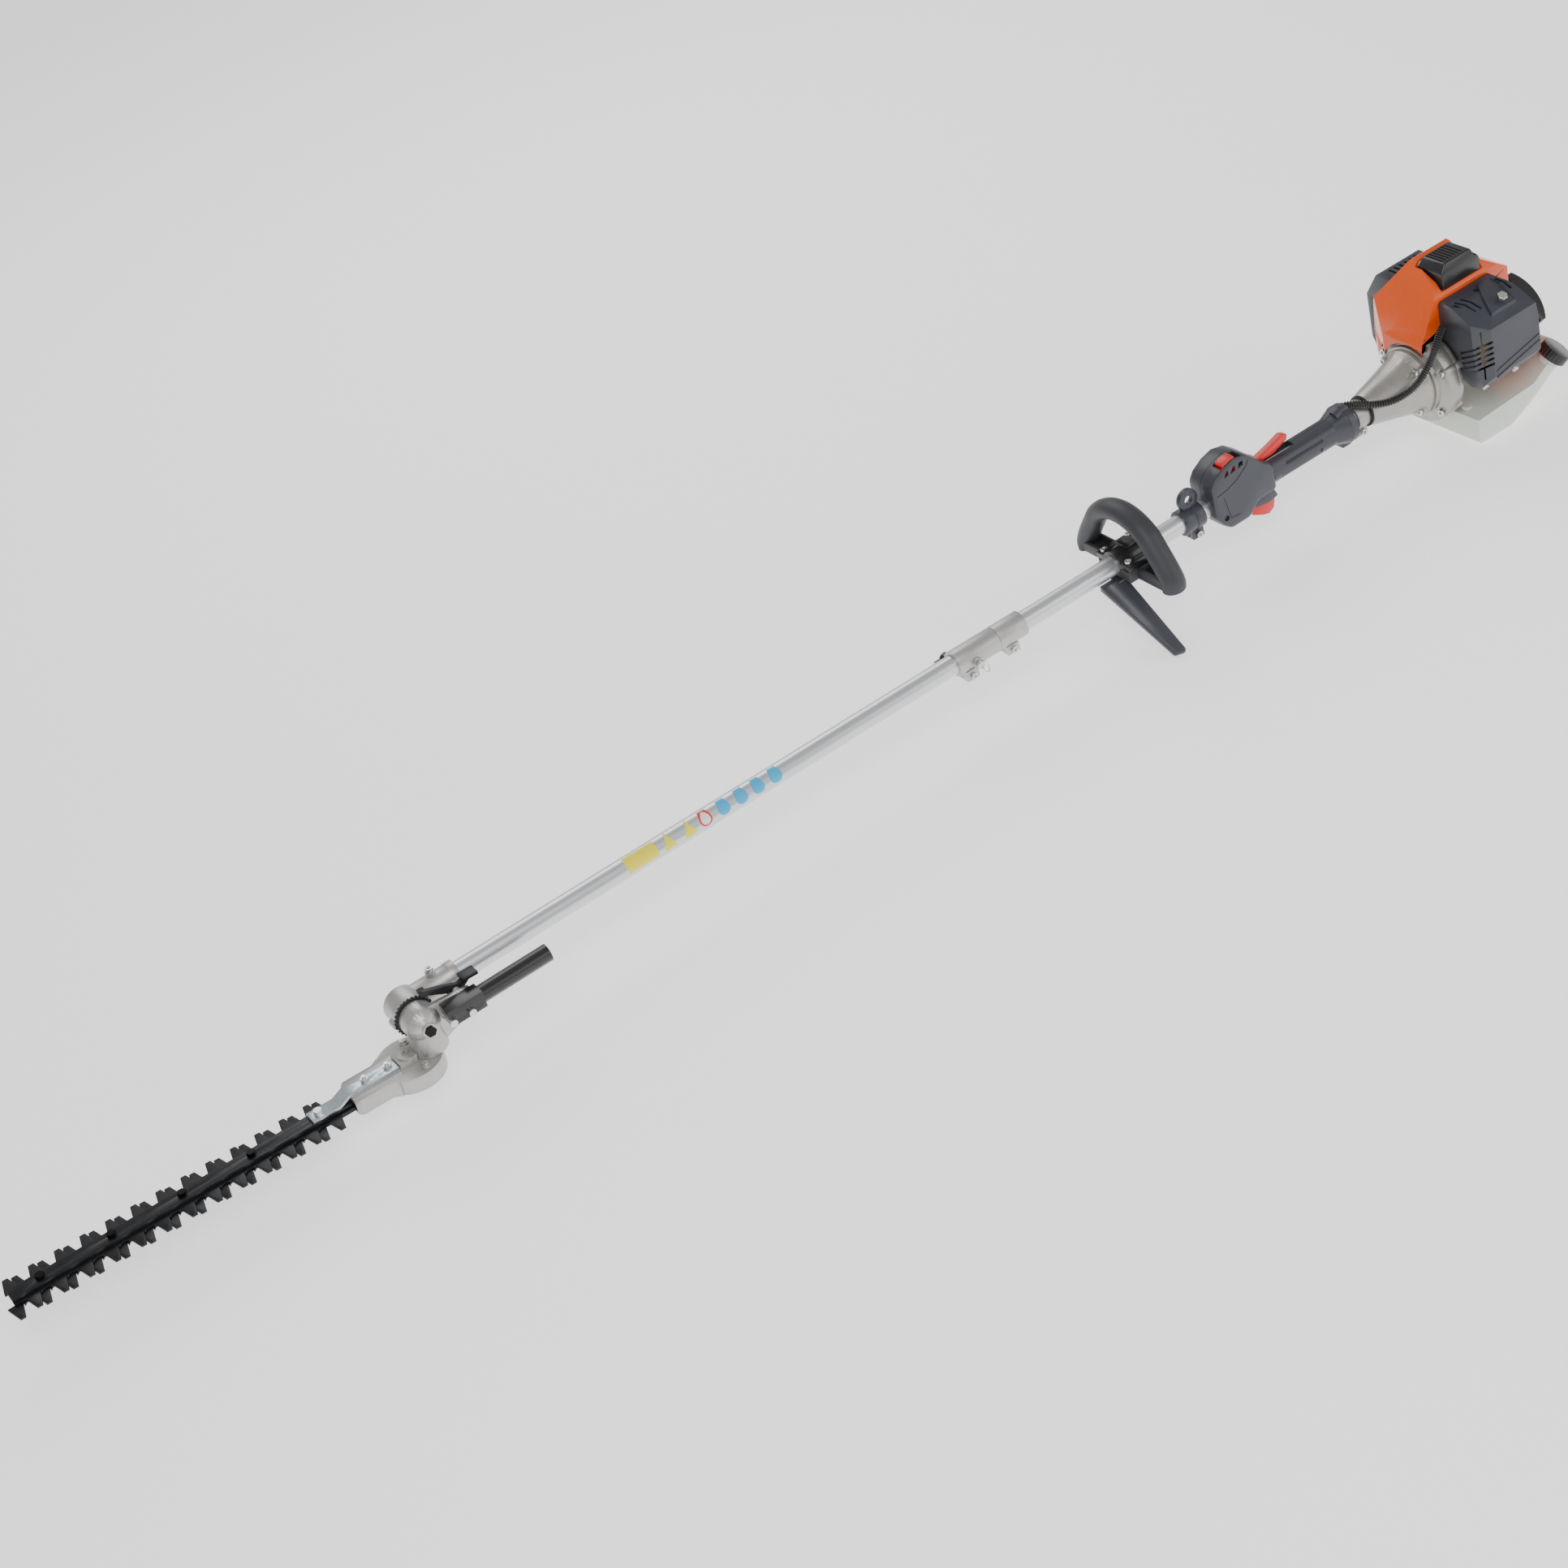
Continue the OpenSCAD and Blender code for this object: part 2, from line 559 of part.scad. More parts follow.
// Cutter head: parts that tilt
module head_housing() color("silver") at_head() difference() {
    union() {
        rotate([90, 0, 0]) rotate_extrude($fn = 96)
            polygon([[0, 30.5], [22, 30.5], [22, 48], [20, 54], [15, 60], [9, 63], [9, 66], [0, 66]]);
        translate([0, blade_y, -36.7]) cylinder(h = 36.7, r1 = 23, r2 = 18, $fn = 64);
        xz(-49.8, -43) polygon([[8, 19], [20, 17], [66, 13], [69, 3], [54, -20], [20, -34]]);
        ycyl(51.5, 12, -43.1, -40.3, 5);
    }
    ycyl(0, 0, -52, -30, 14.5);
    ycyl(0, 0, -30.4, 0, 31.5);
    zcyl(0, blade_y, -16, 13, 12.3);
    zcyl(0, blade_y, -27, -15, shaft_r + run);
    zcyl(0, blade_y, -46, -26, 9);
    zcyl(crank_u, blade_y, -60, -27.5, 13.4);
    for (u = [27, 52]) ycyl(u, -2, -51, -42, 2.6);
    ycyl(51.5, 12, -60, -35, 2.55);
}
module pinion_shaft() color("gray") at_head() translate([0, blade_y, 0]) {
    translate([0, 0, -6]) rotate([180, 0, 0]) bevel(5.6);
    zcyl(0, 0, -42, -6, shaft_r);
    translate([0, 0, -48.1]) spur(10, 6.8);
}
// Spur wheel with straight-sided teeth; one tooth points along +X
module spur(teeth, h) {
    r = gear_m * teeth / 2;
    linear_extrude(h) union() {
        circle(r = r - 1.25 * gear_m, $fn = 64);
        for (i = [0 : teeth - 1]) rotate(i * 360 / teeth) polygon([[r - 2.2 * gear_m, -0.3 * gear_m - 0.85],
            [r, -0.68 * gear_m], [r + 0.85 * gear_m, -0.28 * gear_m], [r + 0.85 * gear_m, 0.28 * gear_m],
            [r, 0.68 * gear_m], [r - 2.2 * gear_m, 0.3 * gear_m + 0.85]]);
    }
}
module crank_gear() color("gray") at_crank() {
    translate([0, 0, -48.1]) rotate(6) spur(30, 6.8);
    zcyl(0, 0, -42, -29, 4.7);
}
module case_outline(grow = 0) union() {
    translate([crank_u, 0]) circle(r = 40 + grow, $fn = 96);
    polygon([[-56, -30 - grow], [-66, -23 - grow], [-104, -23 - grow], [-109 - grow, -18], [-109 - grow, 18],
        [-104, 23 + grow], [-66, 23 + grow], [-56, 30 + grow]]);
}
module gearbox_case() color("silver") at_head() translate([0, blade_y, 0]) difference() {
    union() {
        translate([0, 0, -55]) linear_extrude(18) case_outline();
        zcyl(crank_u, 0, -37.1, -28, 13);
        block(-44, -26, -13, 13, -37.1, -30);
        block(-108, -44, -13, 13, -37.1, -36);
        for (v = [-28, 28]) zcyl(-20, v, -37.1, -34.6, 6);
    }
    zcyl(crank_u, 0, -56, -40.9, 37.2);
    block(-110, -30, -17.5, 17.5, -56, -43);
    zcyl(0, 0, -42, -36, 9);
    zcyl(crank_u, 0, -42, -27, 4.7 + run);
    for (u = [-55, -85]) zcyl(u, 0, -44, -35, 2.6);
    zcyl(0, 0, -45.1, -36.9, 9);
}
module gearbox_cover() color("silver") at_head() translate([0, blade_y, -57.5]) linear_extrude(2.4) case_outline();
module bracket_strip() color("silver") at_head() difference() {
    xz(blade_y - 10.5, blade_y + 10.5) polygon([[-45, -36], [-110, -36], [-124, -43], [-159, -43], [-159, -40],
        [-125, -40], [-111, -33], [-45, -33]]);
    for (u = [-55, -85, bar_bolt_u[4]]) zcyl(u, blade_y, -50, -30, 3.1);
}
module blade_bar() color("black") at_head() translate([0, blade_y, 0]) difference() {
    block(-533, -66, -bar_w / 2, bar_w / 2, -48.2, -43.2);
    for (u = bar_bolt_u) zcyl(u, 0, -49, -42, 3.1);
}
function tooth(u, s) = [[u - 9, s * 10], [u - 8.6, s * 13], [u - 3.35, s * tip_half], [u + 3.35, s * tip_half],
    [u + 8.6, s * 13], [u + 9, s * 10]];
module blade_edge(u0, s) for (i = [0 : tooth_count - 1]) {
    polygon(tooth(u0 + i * tooth_pitch, s));
    if (i < tooth_count - 1) difference() {
        translate([u0 + (i + 0.5) * tooth_pitch, s * 14]) square([14, 6], center = true);
        translate([u0 + (i + 0.5) * tooth_pitch, s * 19.4]) circle(r = 6.2, $fn = 32);
    }
}
module blade_plate(u_pos, u_neg, shift) difference() {
    union() {
        translate([u_pos - 6, -13]) square([crank_u + shift - 12 - u_pos + 6, 26]);
        blade_edge(u_pos, 1);
        blade_edge(u_neg, -1);
        translate([crank_u + shift, 0]) square([29, 45], center = true);
    }
    translate([crank_u + shift, 0]) square([22.2, 38.4], center = true);
    for (u = bar_bolt_u) translate([u + shift, 0]) {
        square([15.7, 7], center = true);
        for (d = [-7.85, 7.85]) translate([d, 0]) circle(r = 3.5, $fn = 32);
    }
}
module upper_blade() color("black") at_head() translate([0, blade_y, upper_top - blade_t]) {
    linear_extrude(blade_t) blade_plate(-527, -527 + tooth_pitch / 2, e_u);
    translate([crank_u + e_u, e_v, 0]) cylinder(h = blade_t, r = 11.05, $fn = 64);
}
module lower_blade() color("black") at_head() translate([0, blade_y, lower_top - blade_t]) {
    linear_extrude(blade_t) blade_plate(-527 + lower_shift, -527 + lower_shift - tooth_pitch / 2, -e_u);
    translate([crank_u - e_u, -e_v, 0]) cylinder(h = blade_t, r = 11.05, $fn = 64);
}
module head_bolts() color("gray") at_head() {
    for (u = bar_bolt_u) {
        zcyl(u, blade_y, -56.6, -38, 3.0);
        translate([u, blade_y, -43.1 + (u > -150 ? 3.2 : 0)]) cylinder(h = 5, r = 5.4, $fn = 6);
        translate([u, blade_y, -58]) cylinder(h = 3.9, r = 5.2, $fn = 6);
    }
    for (u = [-55, -85]) {
        zcyl(u, blade_y, -43, -26, 2.5);
        translate([u, blade_y, -32.9]) cylinder(h = 4, r = 4.8, $fn = 6);
    }
    for (v = [-28, 28]) zcyl(-20, blade_y + v, -34.5, -31.5, 4);
    for (u = [27, 52]) {
        ycyl(u, -2, -75, -43, 2.5);
        ycyl(u, -2, -75, -71.2, 4.6);
    }
    translate([0, -70, 0]) rotate([-90, 0, 0]) cylinder(h = 3.9, r = 7, $fn = 6);
    ycyl(51.5, 12, -50, -31.5, 2.5);
}
module adjust_handle() color("black") at_head() rotate([0, -head_rest, 0]) difference() {
    union() {
        translate([0, -60, 1.3]) rod(70, 165, adjust_d / 2);
        block(25, 72, -71, -50, -10, 12.3);
    }
    translate([0, -60, 1.3]) rod(75, 170, adjust_d / 2 - 2);
    rotate([0, head_rest, 0]) for (u = [27, 52]) ycyl(u, -2, -80, -40, 2.6);
}
module latch_lever() color("black") at_head() difference() {
    union() {
        xz(-40, -34) polygon([[10, 26], [14, 33], [40, 25], [56, 18], [72, 22], [76, 20], [60, 8], [48, 6], [40, 14], [20, 24.3]]);
        block(12, 20, -34.1, -26, 25, 30);
        block(62, 82, -46, -30, 21, 25);
    }
    ycyl(51.5, 12, -47, -29, 2.6);
}

// Screws that hold the fixed parts together
module screw_y(x, z, y0, y1) {
    ycyl(x, z, y0, y1, 2.5);
    ycyl(x, z, y0 - 4, y0, 4.4);
}
module screw_x(y, z, x0, x1) {
    xcyl(y, z, x0, x1, 2.5);
    xcyl(y, z, x0 - 5, x0, 4.6);
}
module socket_screws() color("gray") at_pole() {
    screw_y(-373, -22, -12.1, 14);
    screw_y(-307.7, -20, -12.1, 14);
    screw_y(3, -23, -8.1, 10);
    screw_y(290, -22, -10.1, 12);
    for (x = [-123, -83], y = [-24, 24]) {
        zcyl(x, y, -16, 8, 2.5);
        zcyl(x, y, 8.1, 13, 4.6);
    }
    for (p = [[52, -24], [34, 30]]) {
        ycyl(p[0], p[1], -20.1, 18, 1.7);
        ycyl(p[0], p[1], -21.7, -20.1, 3.4);
    }
    for (p = cone_bolts) screw_x(p[0], p[1], 375.9, 397);
    for (p = fan_bolts) screw_x(p[0], p[1], 398.9, 428);
    zcyl(-1155, 0, 13.6, 22, 2.5);
    zcyl(-1155, 0, 22.1, 27, 4.6);
}

lower_tube();
upper_tube();
shaft_bushes();
coupler_front();
coupler_rear();
loop_handle();
handle_clamp();
barrier_bar();
harness_ring();
handle_left();
handle_right();
throttle_conduit();
isolation_ring();
clutch_housing();
socket_screws();
bearings();
fan_housing();
crankcase();
cylinder_barrel();  // cylinder
spark_plug();
muffler();
muffler_guard();
engine_shroud();
plug_cover();
carburettor();
filter_element();
filter_cover();
starter_housing();
fuel_tank();
head_sleeve();
starter_pulley();
starter_grip();
fuel_cap();
throttle_trigger();
lockout_lever();
stop_switch();
coupler_knob();
locating_pin();
filter_knob();
upper_shaft();
lower_shaft();
clutch_drum();
crankshaft();
flywheel();
clutch_shoes();
piston();
head_housing();
gearbox_case();
gearbox_cover();
head_bolts();
adjust_handle();
bracket_strip();
blade_bar();
cross_shaft();
pinion_shaft();
crank_gear();
upper_blade();
lower_blade();
latch_lever();
index_plate();
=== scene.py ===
import json
import math
import bpy
from mathutils import Matrix, Vector


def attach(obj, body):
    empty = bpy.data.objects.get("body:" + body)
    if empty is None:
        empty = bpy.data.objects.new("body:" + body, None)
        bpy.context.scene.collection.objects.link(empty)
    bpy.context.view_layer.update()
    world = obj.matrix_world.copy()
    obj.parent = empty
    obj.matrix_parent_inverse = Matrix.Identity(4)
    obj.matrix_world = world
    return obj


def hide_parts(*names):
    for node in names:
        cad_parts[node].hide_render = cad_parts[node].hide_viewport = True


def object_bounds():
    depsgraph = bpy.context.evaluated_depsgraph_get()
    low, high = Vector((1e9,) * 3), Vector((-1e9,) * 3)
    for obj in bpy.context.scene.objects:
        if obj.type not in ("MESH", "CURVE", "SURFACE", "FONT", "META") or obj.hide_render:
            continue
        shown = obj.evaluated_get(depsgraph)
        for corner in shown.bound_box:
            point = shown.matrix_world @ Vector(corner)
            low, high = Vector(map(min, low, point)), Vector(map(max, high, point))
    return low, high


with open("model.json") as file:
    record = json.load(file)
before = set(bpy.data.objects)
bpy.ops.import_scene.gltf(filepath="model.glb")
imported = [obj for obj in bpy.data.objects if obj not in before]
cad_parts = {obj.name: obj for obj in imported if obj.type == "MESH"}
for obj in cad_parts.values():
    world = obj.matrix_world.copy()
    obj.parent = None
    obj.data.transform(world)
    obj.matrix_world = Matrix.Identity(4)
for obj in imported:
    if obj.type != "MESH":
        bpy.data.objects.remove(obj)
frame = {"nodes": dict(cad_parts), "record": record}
cad_low, cad_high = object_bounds()
MM = 0.001
EYE = 28 * MM              # the harness eye stands this far above the pole axis
TUBE_BORE = 13.05          # mm, radius of the bores that hold the pole
TILT_X = -1198 * MM        # tilt axis of the cutter head


# ---------------------------------------------------------------- camera, floor and light
def add_camera():
    """A long lens looking down from the filter side, as a catalogue view."""
    data = bpy.data.cameras.new("camera")
    data.lens = 66.06
    data.sensor_width = 36.0
    data.clip_end = 50.0
    camera = bpy.data.objects.new("camera", data)
    bpy.context.scene.collection.objects.link(camera)
    right = Vector((0.79988, -0.55024, -0.23964))
    up = Vector((0.49746, 0.38448, 0.77763))
    back = Vector((-0.33575, -0.74122, 0.58126))
    turn = Matrix((right, up, back)).transposed()
    place = Vector((-1.83076, -2.58725, 2.00961 - EYE))
    camera.matrix_world = Matrix.Translation(place) @ turn.to_4x4()
    bpy.context.scene.camera = camera


def add_light(name, place, aim, size, power):
    data = bpy.data.lights.new(name, "AREA")
    data.shape = "SQUARE"
    data.size = size
    data.energy = power
    lamp = bpy.data.objects.new(name, data)
    lamp.location = place
    lamp.rotation_euler = (Vector(aim) - Vector(place)).to_track_quat("-Z", "Y").to_euler()
    bpy.context.scene.collection.objects.link(lamp)


# ---------------------------------------------------------------- shader maths
class Wire:
    """A value in a node tree. Arithmetic on it adds Math nodes."""

    def __init__(self, tree, socket):
        self.tree = tree
        self.socket = socket

    def math(self, kind, first, second=None):
        node = self.tree.nodes.new("ShaderNodeMath")
        node.operation = kind
        for index, value in enumerate((first, second)):
            if isinstance(value, Wire):
                self.tree.links.new(value.socket, node.inputs[index])
            elif value is not None:
                node.inputs[index].default_value = value
        return Wire(self.tree, node.outputs[0])

    def __add__(self, other):
        return self.math("ADD", self, other)

    def __sub__(self, other):
        return self.math("SUBTRACT", self, other)

    def __rsub__(self, other):
        return self.math("SUBTRACT", other, self)

    def __mul__(self, other):
        return self.math("MULTIPLY", self, other)

    def __lt__(self, other):
        return self.math("LESS_THAN", self, other)

    def size(self):
        return self.math("ABSOLUTE", self)


class Finish:
    """One material: a Principled shader with helpers for the nodes that feed it."""

    def __init__(self, name, **fixed):
        self.material = bpy.data.materials.new(name)
        self.material.use_nodes = True
        self.tree = self.material.node_tree
        self.shader = self.tree.nodes["Principled BSDF"]
        for key, value in fixed.items():
            self.shader.inputs[key.replace("_", " ")].default_value = value
        self.place = self.node("ShaderNodeTexCoord", {}, {}, "Object")

    def node(self, kind, settings, values, output=0):
        made = self.tree.nodes.new(kind)
        for key, value in settings.items():
            setattr(made, key, value)
        for key, value in values.items():
            if isinstance(value, Wire):
                self.tree.links.new(value.socket, made.inputs[key])
            else:
                made.inputs[key].default_value = value
        return Wire(self.tree, made.outputs[output])

    def noise(self, scale, detail=3.0, stretch=None):
        place = self.place
        if stretch:
            place = self.node("ShaderNodeMapping", {}, {"Vector": place, "Scale": stretch})
        return self.node("ShaderNodeTexNoise", {}, {"Vector": place, "Scale": scale, "Detail": detail}, 0)

    def axes(self):
        parts = self.tree.nodes.new("ShaderNodeSeparateXYZ")
        self.tree.links.new(self.place.socket, parts.inputs[0])
        return [Wire(self.tree, out) for out in parts.outputs]

    def mix(self, amount, first, second):
        return self.node("ShaderNodeMix", {"data_type": "RGBA"}, {0: amount, 6: first, 7: second}, 2)

    def feed(self, **inputs):
        for key, value in inputs.items():
            self.tree.links.new(value.socket, self.shader.inputs[key.replace("_", " ")])
        return self

    def bump(self, height, strength, distance):
        values = {"Height": height, "Strength": strength, "Distance": distance}
        return self.feed(Normal=self.node("ShaderNodeBump", {}, values))


def rgba(r, g, b):
    return (r, g, b, 1.0)


def moulded(name, tone, roughness, grain=0.12, coat=0.0):
    """Moulded plastic: a fine spark-eroded grain, faint flow marks and handling gloss."""
    made = Finish(name, Coat_Roughness=0.12, Coat_Weight=coat, IOR=1.48)
    flow = made.noise(14.0, 4.0)
    light = rgba(*(min(1.0, c * 1.16 + 0.003) for c in tone))
    dark = rgba(*(c * 0.86 for c in tone))
    made.feed(Base_Color=made.mix(flow, dark, light))
    made.feed(Roughness=made.noise(60.0, 5.0) * 0.14 + (roughness - 0.07))
    return made.bump(made.noise(2600.0, 2.0), grain, 0.0002).material


def cast_metal(name, tone, roughness, grain):
    """Bead-blasted casting: mottled tone, fine pitting and a few smoother patches."""
    made = Finish(name, Metallic=0.82)
    patch = made.noise(38.0, 6.0)
    made.feed(Base_Color=made.mix(patch, rgba(*(c * 0.78 for c in tone)), rgba(*tone)))
    made.feed(Roughness=made.noise(90.0, 4.0) * 0.22 + (roughness - 0.1))
    return made.bump(made.noise(1500.0, 3.0), grain, 0.0003).material


def bright_metal(name, tone, roughness):
    """Plated or machined steel with fine marks."""
    made = Finish(name, Metallic=1.0)
    marks = made.noise(420.0, 3.0)
    made.feed(Base_Color=made.mix(made.noise(45.0), rgba(*(c * 0.8 for c in tone)), rgba(*tone)))
    made.feed(Roughness=marks * 0.2 + (roughness - 0.1))
    return made.bump(marks, 0.08, 0.0002).material


def galvanised():
    """Zinc plate with its broad cloudy crystals."""
    made = Finish("galvanised_steel", Metallic=0.9)
    cells = made.node("ShaderNodeTexVoronoi", {}, {"Vector": made.place, "Scale": 220.0}, 0)
    made.feed(Base_Color=made.mix(cells, rgba(0.62, 0.69, 0.73), rgba(0.42, 0.48, 0.52)))
    made.feed(Roughness=cells * 0.2 + 0.26)
    return made.bump(made.noise(500.0), 0.06, 0.0002).material


def milky():
    """Blow-moulded tank: waxy white with a soft glow through the wall."""
    made = Finish("tank_plastic", Subsurface_Weight=0.35, Subsurface_Scale=0.02, IOR=1.45)
    cloud = made.noise(16.0, 4.0)
    made.feed(Base_Color=made.mix(cloud, rgba(0.68, 0.67, 0.6), rgba(0.82, 0.81, 0.74)))
    made.feed(Roughness=made.noise(40.0) * 0.16 + 0.24)
    return made.bump(made.noise(160.0), 0.08, 0.0006).material


def black_blade():
    """Black-coated spring steel with fine scuffs."""
    made = Finish("black_steel", Metallic=0.55)
    scuff = made.noise(55.0, 8.0)
    made.feed(Base_Color=made.mix(scuff, rgba(0.008, 0.008, 0.01), rgba(0.035, 0.036, 0.04)))
    made.feed(Roughness=made.noise(120.0) * 0.25 + 0.24)
    return made.bump(made.noise(900.0), 0.1, 0.0002).material


DECAL_RISE = 6.5 * MM      # height of the decal row over the pole axis
DISC_R = 8.6 * MM
RING_HOLE_R = 6.2 * MM


def tube_finish(name, decals):
    """Satin anodised tube with drawn lines, and on the lower tube a row of plain coloured marks."""
    made = Finish(name, Metallic=0.9)
    drawn = made.noise(1500.0, 2.0, (0.02, 1.0, 1.0))
    tone = made.mix(drawn, rgba(0.66, 0.67, 0.69), rgba(0.72, 0.73, 0.75))
    rough = drawn * 0.06 + 0.32
    if decals:
        x, y, z = made.axes()
        rise = z + (EYE - DECAL_RISE)
        near = y < 0.0
        zone = 0.0
        for shape, at, color in decals:
            along = (x - at * MM).size()
            if shape == "disc" or shape == "ring":
                far = along * along + rise * rise
                mask = (far < DISC_R ** 2) * near
            elif shape == "wedge":
                mask = (along < (rise * -0.6 + 5.2 * MM)) * (rise.size() < 8 * MM) * near
            else:
                mask = (along < 22 * MM) * (rise.size() < 8.5 * MM) * near
            tone = made.mix(mask, tone, rgba(*color))
            if shape == "ring":
                tone = made.mix((far < RING_HOLE_R ** 2) * near, tone, rgba(0.85, 0.85, 0.85))
            zone = mask + zone
        made.feed(Metallic=0.9 - zone * 0.9)
        rough = rough + zone * 0.1
    made.feed(Base_Color=tone, Roughness=rough)
    return made.bump(drawn, 0.02, 0.0001).material


def bolt_finish():
    """Zinc bolts on the gearbox, black ones along the blade bar and on the near dome."""
    made = Finish("bolt_steel", Metallic=0.9)
    x, y = made.axes()[:2]
    dome = ((x - TILT_X).size() < 9 * MM) * (y < -65.5 * MM)
    black = (x < -1370 * MM) + dome
    made.feed(Base_Color=made.mix(black, rgba(0.72, 0.72, 0.7), rgba(0.015, 0.015, 0.016)))
    made.feed(Roughness=made.noise(300.0) * 0.2 + 0.18)
    return made.bump(made.noise(900.0), 0.05, 0.0002).material


YELLOW = (0.9, 0.78, 0.03)
BLUE = (0.03, 0.42, 0.75)
RED = (0.75, 0.03, 0.03)
DECALS = [("plate", -868, YELLOW), ("wedge", -829, YELLOW), ("wedge", -799, YELLOW), ("ring", -775, RED),
          ("disc", -748, BLUE), ("disc", -722, BLUE), ("disc", -697, BLUE), ("disc", -671, BLUE)]

FINISH = {
    "lower_tube": tube_finish("decal_tube", DECALS),
    "anodised_tube": tube_finish("anodised_tube", None),
    "cast_alloy": cast_metal("cast_alloy", (0.56, 0.55, 0.53), 0.42, 0.35),
    "housing_alloy": cast_metal("housing_alloy", (0.44, 0.42, 0.39), 0.36, 0.18),
    "galvanised_steel": galvanised(),
    "steel": bright_metal("steel", (0.55, 0.55, 0.55), 0.3),
    "zinc_screws": bright_metal("zinc_screws", (0.72, 0.72, 0.7), 0.22),
    "black_steel": black_blade(),
    "head_bolts": bolt_finish(),
    "slate_plastic": moulded("slate_plastic", (0.038, 0.041, 0.052), 0.4, 0.2, 0.05),
    "black_plastic": moulded("black_plastic", (0.012, 0.012, 0.013), 0.3, 0.1, 0.15),
    "black_rubber": moulded("black_rubber", (0.014, 0.014, 0.014), 0.6, 0.3),
    "grip_foam": moulded("grip_foam", (0.032, 0.034, 0.04), 0.5, 0.35),
    "orange_plastic": moulded("orange_plastic", (0.78, 0.085, 0.0), 0.28, 0.02, 0.2),
    "red_plastic": moulded("red_plastic", (0.7, 0.008, 0.004), 0.34, 0.05, 0.15),
    "tank_plastic": milky(),
    "white_nylon": moulded("white_nylon", (0.75, 0.75, 0.7), 0.45),
    "ceramic": moulded("ceramic", (0.85, 0.85, 0.83), 0.15, 0.0, 0.5),
    "filter_foam": moulded("filter_foam", (0.45, 0.38, 0.2), 0.8, 0.8),
    "cast_iron": cast_metal("cast_iron", (0.16, 0.15, 0.14), 0.6, 0.5),
    "silencer_steel": cast_metal("silencer_steel", (0.1, 0.1, 0.1), 0.55, 0.3),
}
SLOTS = {row["node"]: row["material_slot"] for row in frame["record"]["subparts"]}
BODY_OF = {node: body for body, nodes in frame["record"]["behaviour"]["bodies"].items() for node in nodes}


def finish_for(node):
    if node == "lower_tube":
        return FINISH["lower_tube"]
    if node in ("clutch_housing", "fan_housing", "crankcase"):
        return FINISH["housing_alloy"]
    if node == "head_bolts":
        return FINISH["head_bolts"]
    return FINISH[SLOTS[node]]


def paint(piece, material):
    piece.data.materials.clear()
    piece.data.materials.append(material)


# ---------------------------------------------------------------- modelling helpers
def alone(piece):
    """Makes one object the only selected one, and the active one."""
    bpy.ops.object.select_all(action="DESELECT")
    piece.select_set(True)
    bpy.context.view_layer.objects.active = piece


def edit(piece, *steps):
    """Runs edit-mode operators on the whole mesh of a piece."""
    alone(piece)
    bpy.ops.object.mode_set(mode="EDIT")
    bpy.ops.mesh.select_all(action="SELECT")
    for step in steps:
        step()
    bpy.ops.object.mode_set(mode="OBJECT")
    return piece


def apply(piece, kind, **settings):
    """Adds a modifier and applies it."""
    alone(piece)
    made = piece.modifiers.new(kind.lower(), kind)
    for key, value in settings.items():
        setattr(made, key, value)
    bpy.ops.object.modifier_apply(modifier=made.name)
    return piece


def round_edges(piece, width, segments=2, angle=32.0):
    apply(piece, "BEVEL", width=width * MM, segments=segments, limit_method="ANGLE",
          angle_limit=math.radians(angle), use_clamp_overlap=True)
    alone(piece)
    bpy.ops.object.shade_smooth_by_angle(angle=math.radians(40.0))
    return piece


def cut(piece, *tools):
    """Takes the tools' shapes out of a piece and deletes them."""
    for tool in tools:
        apply(piece, "BOOLEAN", operation="DIFFERENCE", solver="EXACT", object=tool)
        bpy.data.objects.remove(tool)
    return piece


def spot(x, y, z):
    """A place in mm, with its height from the pole axis, as metres from the harness eye."""
    return Vector((x, y, z - EYE / MM)) * MM


def shave(piece, point, normal):
    """Cuts away everything past a plane (mm, heights from the pole axis) on the side its normal points to."""
    side = 0.3
    way = Vector(normal).normalized()
    place = spot(*point) + way * side / 2
    bpy.ops.object.select_all(action="DESELECT")
    turn = way.to_track_quat("Z", "Y").to_euler()
    bpy.ops.mesh.primitive_cube_add(size=side, location=place, rotation=turn)
    return cut(piece, named("plane_tool"))


def settle(piece):
    """Moves a piece's placement into its mesh."""
    alone(piece)
    bpy.ops.object.transform_apply(location=True, rotation=True, scale=True)
    return piece


def named(name):
    piece = bpy.context.active_object
    piece.name = name
    piece.data.name = name
    return piece


def slab(name, outline, to_world, depth):
    """A flat outline (mm) laid in a plane and pulled straight out by depth (mm)."""
    bpy.ops.object.select_all(action="DESELECT")
    bpy.ops.mesh.primitive_circle_add(vertices=len(outline), radius=MM, fill_type="NGON")
    piece = named(name)
    for vertex, (a, b) in zip(piece.data.vertices, outline):
        vertex.co = Vector(to_world(a, b, 0.0)) * MM
    pull = (Vector(to_world(0.0, 0.0, depth)) - Vector(to_world(0.0, 0.0, 0.0))) * MM
    edit(piece, lambda: bpy.ops.mesh.extrude_region_move(TRANSFORM_OT_translate={"value": pull}),
         lambda: bpy.ops.mesh.select_all(action="SELECT"),
         lambda: bpy.ops.mesh.normals_make_consistent(inside=False))
    return piece


def along_y(y0):
    """Outline in X and Z, pulled towards +Y from y0; heights count from the pole axis."""
    return lambda a, b, d: (a, y0 + d, b - EYE / MM)


def along_x(x0):
    return lambda a, b, d: (x0 + d, a, b - EYE / MM)


def along_z(z0):
    return lambda a, b, d: (a, b, z0 + d - EYE / MM)


def box(name, x0, x1, y0, y1, z0, z1):
    return slab(name, [(x0, y0), (x1, y0), (x1, y1), (x0, y1)], along_z(z0), z1 - z0)


